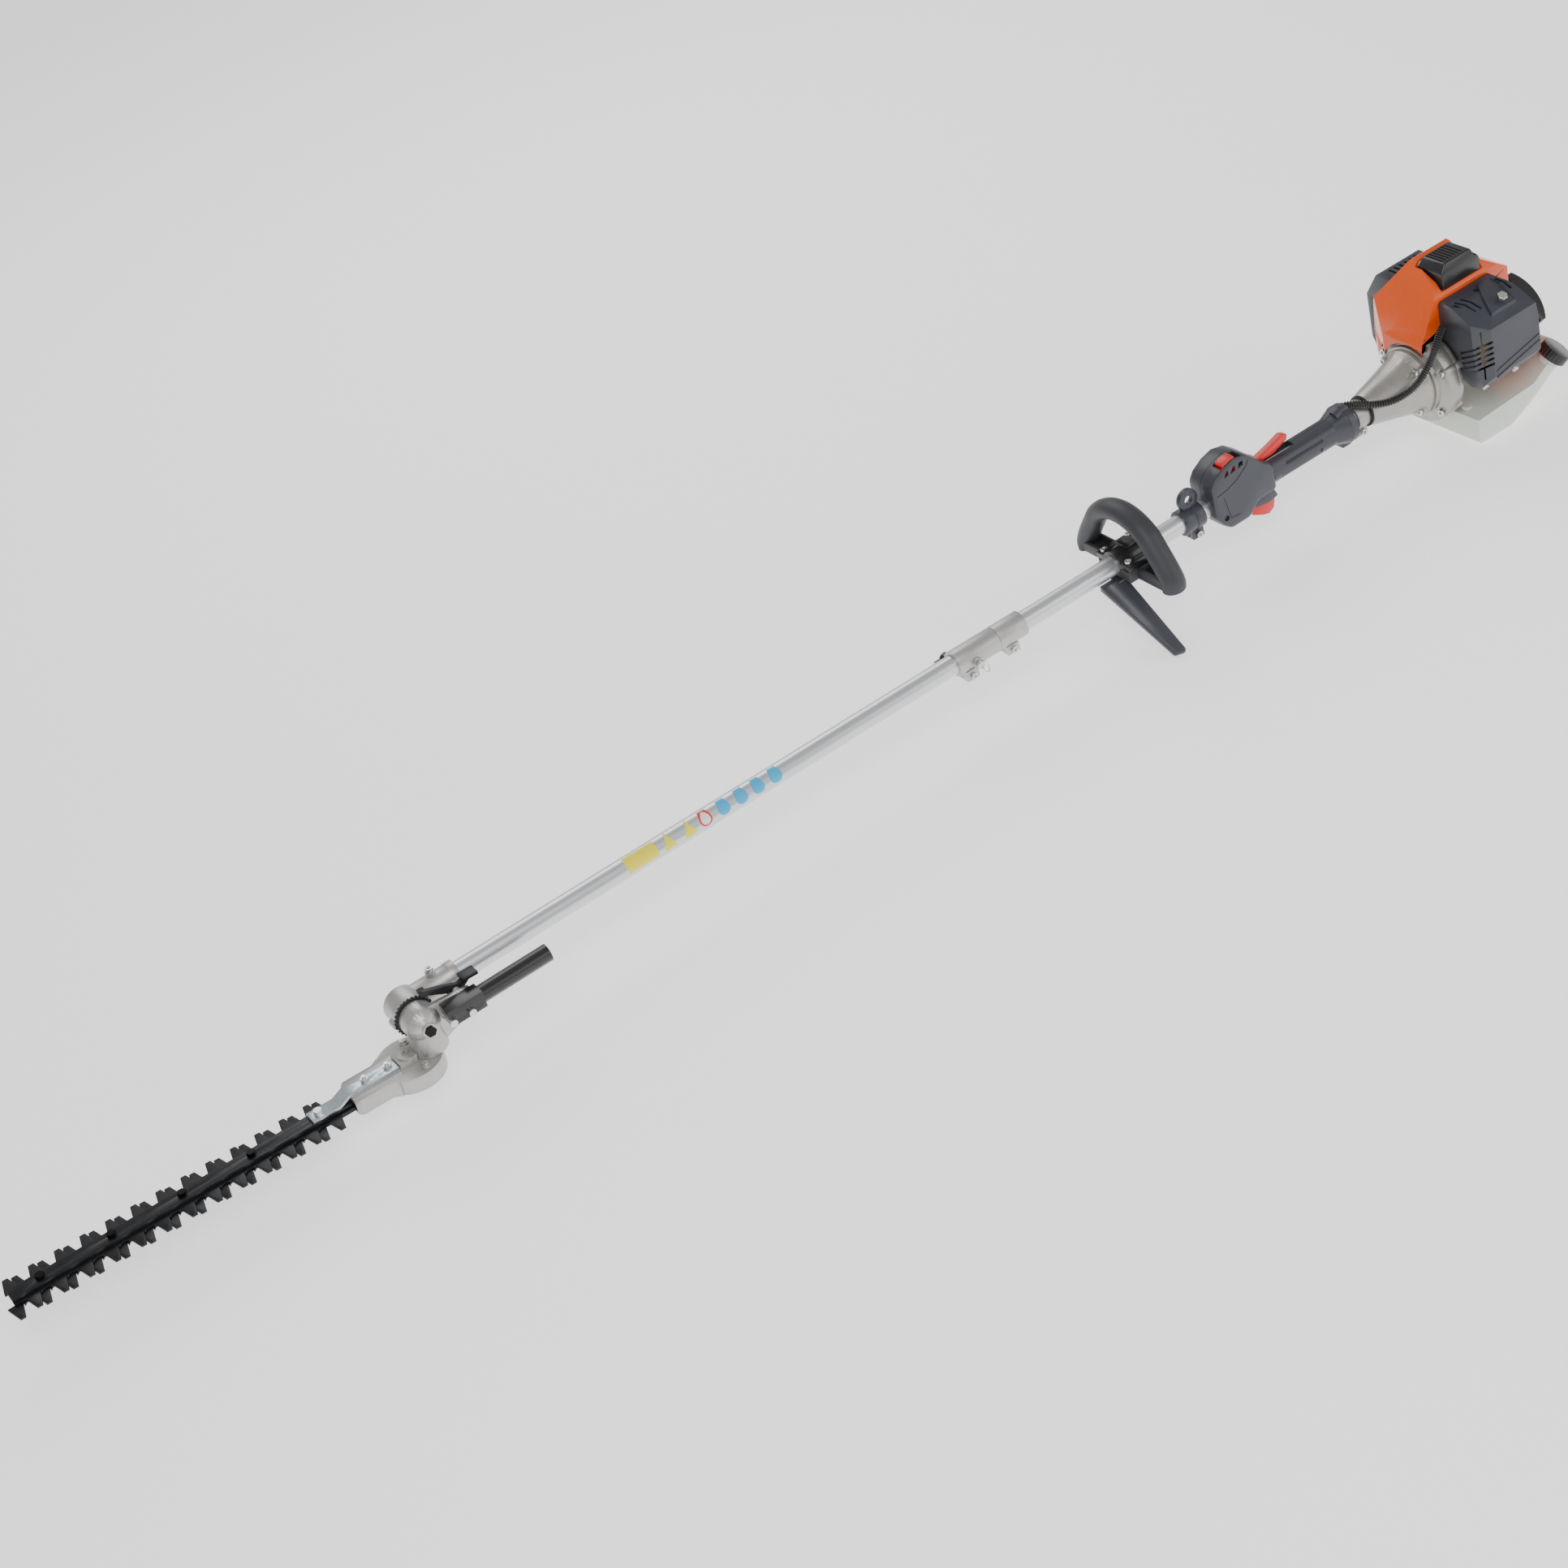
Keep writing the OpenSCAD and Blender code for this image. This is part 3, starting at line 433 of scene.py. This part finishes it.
def barrel(name, start, end, radius, sides=32, radius_end=None):
    """A round bar or cone between two points (mm, heights from the pole axis)."""
    a, b = spot(*start), spot(*end)
    bpy.ops.object.select_all(action="DESELECT")
    bpy.ops.mesh.primitive_cone_add(vertices=sides, radius1=radius * MM, depth=(b - a).length,
                                    radius2=(radius if radius_end is None else radius_end) * MM,
                                    location=(a + b) / 2, rotation=(b - a).to_track_quat("Z", "Y").to_euler())
    return settle(named(name))


def finished(piece, body, slot, *nodes, material=None):
    """Dresses a piece, puts it on its body, and lets it stand for CAD nodes."""
    paint(piece, material or FINISH[slot])
    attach(piece, body)
    if nodes:
        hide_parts(*nodes)
    return piece


def joined(name, parts):
    bpy.ops.object.select_all(action="DESELECT")
    for part in parts:
        part.select_set(True)
    bpy.context.view_layer.objects.active = parts[0]
    bpy.ops.object.join()
    return named(name)


def softened(node, width, segments):
    """A copy of a CAD node with welded faces and rounded edges, shown in its place."""
    source = frame["nodes"][node]
    piece = source.copy()
    piece.data = source.data.copy()
    for collection in source.users_collection:
        collection.objects.link(piece)
    piece.parent = None
    piece.name = node + "_shell"
    edit(piece, lambda: bpy.ops.mesh.remove_doubles(threshold=0.00001),
         lambda: bpy.ops.mesh.dissolve_limited(angle_limit=math.radians(1.0)))
    round_edges(piece, width, segments)
    return finished(piece, BODY_OF[node], SLOTS[node], node, material=finish_for(node))


def unite(piece, *others):
    for other in others:
        apply(piece, "BOOLEAN", operation="UNION", solver="EXACT", object=other)
        bpy.data.objects.remove(other)
    return piece


def strip_tool(name, start, end, width, z0, z1):
    """An upright cutter that runs between two points seen from above."""
    along = (Vector(end) - Vector(start)).normalized() * width / 2
    side = Vector((-along.y, along.x))
    ends = [Vector(start) - side, Vector(end) - side, Vector(end) + side, Vector(start) + side]
    return slab(name, [(p.x, p.y) for p in ends], along_z(z0), z1 - z0)


def filter_cover():
    """Air filter cover: a hollow faceted box with a boss, top slots, corner louvres and low ridges."""
    def slope(y):
        return 84.0 + 0.556 * (y + 94.0) if y < -58 else 104.0 + 0.133 * (y + 58.0)
    piece = slab("filter_cover_shell", [(428, 30), (428, 104), (436, 110), (516, 110), (526, 100), (531, 60),
                                        (530, 12), (522, -4), (446, -19), (436, -12)], along_y(-101), 73)
    for point, normal in (((478, -94, 84), (0, -0.486, 0.874)), ((478, -58, 104), (0, -0.13, 0.99)),
                          ((478, -98, 6), (0, -0.737, -0.676)), ((478, -76, -18), (0, 0.447, -0.894)),
                          ((430, -86, 40), (-0.684, -0.729, 0))):
        shave(piece, point, normal)
    round_edges(piece, 2.6, 3, 20)
    boss = slab("boss", [(487, -40), (510, -40), (509, -60), (508, -88), (463, -88), (474, -62)],
                lambda a, b, d: (a, b, slope(b) - 2.5 + d - EYE / MM), 6.5)
    round_edges(boss, 1.6, 2)
    unite(piece, boss)
    tools = [slab("hollow", [(-20, 8), (-28, 10), (-75, -13), (-93, 8), (-93, 78), (-60, 98), (-20, 103)],
                  along_x(436), 88)]
    tools += [strip_tool("slot", a, b, 3.6, 60, 140)
              for a, b in (((442, -44), (452, -72)), ((452, -44), (461, -72)), ((515, -44), (518, -70)))]
    tools.append(slab("wedge", [(432, -46), (439, -48), (440, -60)], along_z(60), 80))
    tools.append(barrel("hole", (480, -45, 90), (480, -45, 120), 3.6, 24))
    for step in range(5):
        z = 8 + 8 * step
        tools.append(slab("louvre", [(-60, z), (-104, z + 21.5), (-104, z + 25), (-60, z + 3.5)],
                          along_x(424), 7))
        tools.append(slab("louvre", [(-86, z + 12.7), (-104, z + 21.5), (-104, z + 25), (-86, z + 16.2)],
                          along_x(424), 24))
    cut(piece, *tools)
    ridges = [slab("ridge", [(450, 6 + rise), (529, 22 + rise), (529, 24.4 + rise), (450, 8.4 + rise)],
                   along_y(-102), 3.0) for rise in (0, 9)]
    unite(piece, *ridges)
    round_edges(piece, 0.5, 1, 45)
    finished(piece, "frame", "slate_plastic", "filter_cover")
    lower = socket_head("cover_screw", (487, -91.5, 2), (487, -96.5, -2.5), 4.6)
    front = socket_head("cover_screw", (440, -84, -4), (440, -88.5, -8), 4.6)
    finished(joined("cover_screws", [lower, front]), "frame", "zinc_screws")


def loop_handle():
    """Loop handle: a thick rounded tube over the pole with a channelled arm at each side."""
    loop_x, loop_r, tube_r, widening = -103, 72, 13.4, 1.24
    turns = [math.radians(degrees) for degrees in range(44, 137, 4)]
    arc = [(loop_r * math.cos(turn), -5 + loop_r * math.sin(turn)) for turn in turns]
    path = [(84, -17), (85.5, -4)] + arc + [(-85.5, -4), (-84, -17)]
    for smoothing in range(2):
        ends = path[0], path[-1]
        path = [(a[0] * (1 - t) + b[0] * t, a[1] * (1 - t) + b[1] * t)
                for a, b in zip(path, path[1:]) for t in (0.25, 0.75)]
        path = [ends[0]] + path + [ends[1]]
    bpy.ops.object.select_all(action="DESELECT")
    bpy.ops.curve.primitive_nurbs_path_add()
    core = bpy.context.active_object
    spline = core.data.splines[0]
    spline.type = "POLY"
    spline.points.add(len(path) - len(spline.points))
    for point, (y, z) in zip(spline.points, path):
        point.co = (loop_x * MM, y * MM, (z - EYE / MM) * MM, 1.0)
    core.data.bevel_depth = tube_r * MM
    core.data.bevel_resolution = 9
    core.data.use_fill_caps = True
    alone(core)
    bpy.ops.object.convert(target="MESH")
    tube = named("loop_tube")
    for vertex in tube.data.vertices:
        vertex.co.x = loop_x * MM + (vertex.co.x - loop_x * MM) * widening
    edit(tube, lambda: bpy.ops.mesh.normals_make_consistent(inside=False))
    round_edges(tube, 2.2, 3, 60)
    parts = [tube]
    for side in (-1, 1):
        ends = sorted((side * 24, side * 88))
        arm = box("arm", -117.5, -88.5, *ends, -17.0, -1.0)
        round_edges(arm, 2.5, 3)
        cut(arm, box("channel", -113, -93, *sorted((side * 33, side * 74)), -13, 10))
        parts.append(round_edges(arm, 0.6, 2, 45))
    seat = box("seat", -130, -75, -32, 32, -17, -0.2)
    cut(round_edges(seat, 2.5, 3), barrel("bore", (-140, 0, 0), (-60, 0, 0), TUBE_BORE, 48))
    parts.append(round_edges(seat, 0.4, 1, 60))
    finished(joined("loop_handle_shell", parts), "frame", "grip_foam", "loop_handle")


def socket_head(name, start, end, radius):
    """A socket screw's head: a rounded drum with a six-sided recess, from its seat to its top."""
    head = barrel(name, start, end, radius, 28)
    a, b = Vector(start), Vector(end)
    tip = b + (b - a).normalized()
    deep = b - (b - a) * 0.55
    cut(head, barrel("recess", deep, tip, radius * 0.55, 6))
    return round_edges(head, 0.45, 2)


def screws():
    """The heads of the pole's and engine's socket screws; the shanks, hidden in their holes, are left out."""
    heads = []
    flange_r = 42
    for x, z, seat in ((-373, -22, -12.1), (-307.7, -20, -12.1), (3, -23, -8.1), (290, -22, -10.1)):
        heads.append(socket_head("head", (x, seat, z), (x, seat - 4, z), 4.4))
    for x in (-123, -83):
        for y in (-24, 24):
            heads.append(socket_head("head", (x, y, 8.1), (x, y, 13), 4.6))
    for x, z in ((52, -24), (34, 30)):
        heads.append(socket_head("head", (x, -19.5, z), (x, -21.7, z), 3.4))
    for turn in range(45, 360, 90):
        y, z = flange_r * math.cos(math.radians(turn)), flange_r * math.sin(math.radians(turn))
        heads.append(socket_head("head", (375.9, y, z), (370.9, y, z), 4.6))
    for y, z in ((-54, 24), (54, 24), (-45, -38), (45, -38)):
        heads.append(socket_head("head", (398.9, y, z), (393.9, y, z), 4.6))
    heads.append(socket_head("head", (-1155, 0, 22.1), (-1155, 0, 27), 4.6))
    finished(joined("socket_screw_heads", heads), "frame", "zinc_screws", "socket_screws")


def rear_handle():
    """Both halves of the rear handle with the seam, vents, panel lines and comb grip between them."""
    outline = [(24, -10), (23, 36), (31, 47), (48, 57), (66, 62), (84, 58), (98, 47), (114, 29), (128, 20),
               (128, -18), (96, -19), (88, -26), (78, -35), (46, -35), (34, -24)]
    shell = slab("rear_handle_shell", outline, along_y(-23.5), 47)
    round_edges(shell, 5.5, 2)
    skirt = slab("skirt", [(88, -16), (128, -14), (138, -38), (122, -41), (101, -38), (90, -28)],
                 along_y(-10), 20)
    round_edges(skirt, 2.5, 2)
    unite(shell, skirt, barrel("grip", (108, 0, 0), (246, 0, 0), 19.5, 64),
          barrel("flare", (240, 0, 0), (262, 0, 0), 19.5, 64, 27.5),
          barrel("collar", (261, 0, 0), (271, 0, 0), 27.5, 64),
          barrel("inlet", (250, -4, 19), (270.5, -4, 24), 8, 32), box("tab", 256, 270, -7, 7, -31, -22))
    tools = [barrel("bore", (10, 0, 0), (290, 0, 0), TUBE_BORE, 48),
             box("trigger_slot", 84, 145, -5.8, 5.8, -80, -13.2),
             box("lever_slot", 98, 177, -7.0, 7.0, 12.8, 80),
             box("switch_slot", 45, 80, -20.2, -3.8, 42, 80), box("seam", 0, 290, -0.35, 0.35, 13.4, 100),
             box("seam", 0, 290, -0.35, 0.35, -100, -13.4),
             barrel("conduit_hole", (262, -4, 25), (280, -4, 25), 4.6, 24)]
    for x0, x1, z0 in ((46, 54, 42), (57, 66, 43), (69, 79, 44)):
        tools.append(slab("vent", [(x0, z0), (x1, z0 + 2), (x1, z0 + 9), (x0 + 4, z0 + 8)], along_y(-30), 12))
    tools.append(slab("arc_line", [(30, 22), (48, 24), (66, 30), (84, 42), (92, 54), (91, 55), (82.6, 43.2),
                                   (65.4, 31.4), (47.8, 25.3), (30, 23.4)], along_y(-26), 3.2))
    tools.append(slab("panel_line", [(40, 16), (41.2, 16), (47.2, -17), (62, -19), (62, -20.2),
                                     (46.2, -18.4)], along_y(-26), 3.2))
    tools.append(slab("panel", [(140, -3), (214, -3), (211, -14), (146, -14)], along_y(-20), 3.2))
    for step in range(26):
        x = 152 + 2.5 * step
        tools.append(box("comb", x, x + 1.1, -22, -16.0, 4.5, 9.0))
    for side in (-1, 1):
        tools.append(barrel("screw_well", (40, side * 30, -15), (40, side * 20, -15), 4.0, 24))
    tools.append(slab("grip_edge", [(129, 20), (132.4, 20), (128.4, 2), (133.4, -20), (130, -20), (125, 2)],
                      along_y(-20), 1.8))
    cut(shell, *tools)
    round_edges(shell, 0.5, 1, 40)
    finished(shell, "frame", "slate_plastic", "handle_left", "handle_right")


def conduit():
    """Corrugated throttle conduit: one ring, copied at every step along the swept path, over a core."""
    route = [(260, -4, 25), (274, -4, 25), (286, -12, 23), (300, -24, 19), (318, -34, 16), (336, -40, 17),
             (352, -45, 22), (364, -49, 31), (373, -52, 42), (382, -54, 54), (392, -53, 65), (404, -48, 73),
             (416, -41, 76), (424, -37, 77)]
    points = [spot(*place) for place in route]
    smooth = []
    for i in range(len(points) - 1):
        before, after = points[max(i - 1, 0)], points[min(i + 2, len(points) - 1)]
        for k in range(8):
            t = k / 8
            smooth.append(0.5 * ((2 * points[i]) + (points[i + 1] - before) * t
                                 + (2 * before - 5 * points[i] + 4 * points[i + 1] - after) * t * t
                                 + (3 * points[i] - before - 3 * points[i + 1] + after) * t * t * t))
    smooth.append(points[-1])
    rings, travelled, spacing = [], 0.0, 3.3 * MM
    for here, there in zip(smooth, smooth[1:]):
        span = (there - here).length
        while travelled < span:
            place = here.lerp(there, travelled / span)
            turn = (there - here).to_track_quat("Z", "Y").to_euler()
            if not rings:
                bpy.ops.object.select_all(action="DESELECT")
                bpy.ops.mesh.primitive_torus_add(major_radius=4.1 * MM, minor_radius=1.15 * MM,
                                                 major_segments=22, minor_segments=8)
                master = named("ring")
                rings.append(master)
                master.location, master.rotation_euler = place, turn
            else:
                ring = rings[0].copy()
                ring.data = rings[0].data.copy()
                bpy.context.scene.collection.objects.link(ring)
                ring.location, ring.rotation_euler = place, turn
                rings.append(ring)
            travelled += spacing
        travelled -= span
    for ring in rings:
        settle(ring)
    bpy.ops.object.select_all(action="DESELECT")
    bpy.ops.curve.primitive_nurbs_path_add()
    core = bpy.context.active_object
    spline = core.data.splines[0]
    spline.points.add(len(smooth) - len(spline.points))
    for point, at in zip(spline.points, smooth):
        point.co = (*at, 1.0)
    spline.order_u = 3
    spline.use_endpoint_u = True
    core.data.bevel_depth = 3.4 * MM
    core.data.bevel_resolution = 4
    core.data.use_fill_caps = True
    alone(core)
    bpy.ops.object.convert(target="MESH")
    piece = joined("throttle_conduit_hose", [bpy.context.active_object] + rings)
    alone(piece)
    bpy.ops.object.shade_smooth()
    finished(piece, "frame", "black_plastic", "throttle_conduit")


def shroud_lip():
    """An orange strip over the open slit in the shroud's front, above the fan housing."""
    def band(x0, depth, inner):
        turns = [math.radians(a) for a in range(48, 114, 5)]
        outline = [(inner * math.cos(a), inner * math.sin(a)) for a in turns]
        outline += [(73 * math.cos(a), 73 * math.sin(a)) for a in reversed(turns)]
        return slab("shroud_lip", outline, along_x(x0), depth)
    lip = unite(band(391.5, 6.1, 58.0), band(397.4, 3.6, 66.6))
    shave(lip, (390.9, 0, 56), (-0.864, 0, 0.502))
    shave(lip, (430, -27, 60), (0, -1, 0))
    shave(lip, (391, 44.6, 60), (-0.834, 0.551, 0))
    finished(round_edges(lip, 0.4, 1, 40), "frame", "orange_plastic")


def plug_cover():
    """Plug cover: a rounded cap with ribs along its top and a small screw well."""
    cap = slab("plug_cover_shell", [(444, 117), (444, 140), (453, 152), (499, 152), (511, 136), (511, 117)],
               along_y(-25), 45)
    left = slab("trim", [(-60, 100), (-60, 170), (-18, 170), (-25, 138), (-25, 100)], along_x(430), 100)
    right = slab("trim", [(60, 100), (60, 170), (13, 170), (20, 142), (20, 100)], along_x(430), 100)
    cut(cap, left, right)
    round_edges(cap, 3.0, 3)
    tools = [box("rib_gap", 449 + 5.4 * i, 451 + 5.4 * i, -17, 15, 150.7, 156) for i in range(8)]
    tools.append(barrel("well", (504, -20, 138), (504, -20, 156), 4.5, 24))
    cut(cap, *tools)
    round_edges(cap, 0.4, 1, 40)
    finished(cap, "frame", "black_plastic", "plug_cover")


def locating_pin():
    """Hex-capped locating pin with its split ring."""
    shaft = barrel("shaft", (-367, -11, -3), (-367, -25, -3), 3.5, 24)
    cap = round_edges(barrel("cap", (-367, -23.5, -3), (-367, -28.5, -3), 6, 6), 0.6)
    pin = joined("locating_pin_shell", [shaft, cap])
    finished(pin, "locating_pin", "zinc_screws", "locating_pin")
    bpy.ops.object.select_all(action="DESELECT")
    bpy.ops.mesh.primitive_torus_add(major_radius=7 * MM, minor_radius=0.6 * MM, major_segments=40,
                                     minor_segments=8, location=spot(-361, -27, -9),
                                     rotation=(1.2, 0.3, 0.5))
    ring = settle(named("pin_ring"))
    bpy.ops.object.shade_smooth()
    finished(ring, "locating_pin", "zinc_screws")


# ---------------------------------------------------------------- stage
add_camera()
bpy.ops.object.select_all(action="DESELECT")
bpy.ops.mesh.primitive_plane_add(size=14.0, location=(-0.5, 0.0, cad_low.z - 0.002))
floor = named("floor")
floor_finish = Finish("floor_paint", Roughness=0.9, Emission_Color=rgba(1.0, 1.0, 1.0),
                      Emission_Strength=0.75)
floor_finish.feed(Base_Color=floor_finish.mix(floor_finish.noise(3.0), rgba(0.93, 0.93, 0.93),
                                              rgba(0.95, 0.95, 0.95)))
paint(floor, floor_finish.material)
world = bpy.data.worlds.new("studio")
world.use_nodes = True
world.node_tree.nodes["Background"].inputs[0].default_value = (1.0, 1.0, 1.0, 1.0)
world.node_tree.nodes["Background"].inputs[1].default_value = 0.5
bpy.context.scene.world = world
add_light("key", (-1.6, -2.2, 2.6), (0.0, 0.0, 0.0), 1.6, 52.0)
add_light("fill", (1.8, -2.4, 1.2), (0.3, 0.0, 0.0), 1.8, 22.0)
add_light("rim", (0.2, 2.2, 2.2), (0.0, 0.0, 0.0), 2.0, 34.0)

# ---------------------------------------------------------------- CAD nodes: finishes and softened copies
for node_name, node_object in frame["nodes"].items():
    paint(node_object, finish_for(node_name))

SOFT = {"coupler_front": 1.2, "coupler_rear": 1.2, "handle_clamp": 1.5, "barrier_bar": 1.6,
        "harness_ring": 1.0, "clutch_housing": 0.8, "fan_housing": 1.0, "crankcase": 0.8,
        "muffler_guard": 0.8, "head_sleeve": 1.2, "head_housing": 1.2, "gearbox_case": 1.5,
        "gearbox_cover": 0.5, "bracket_strip": 0.5, "adjust_handle": 0.8, "latch_lever": 0.6,
        "starter_housing": 1.5, "starter_grip": 2.0, "throttle_trigger": 1.0, "lockout_lever": 1.0,
        "stop_switch": 0.8, "coupler_knob": 1.0, "blade_bar": 0.6, "fuel_cap": 0.6,
        "isolation_ring": 0.3, "engine_shroud": 2.5, "fuel_tank": 6.0, "upper_blade": 0.5,
        "lower_blade": 0.5, "filter_knob": 0.8, "index_plate": 0.3}
for node_name, width in SOFT.items():
    softened(node_name, width, 3 if width > 1.5 else 2)
filter_cover()
loop_handle()
screws()
rear_handle()
conduit()
plug_cover()
shroud_lip()
locating_pin()
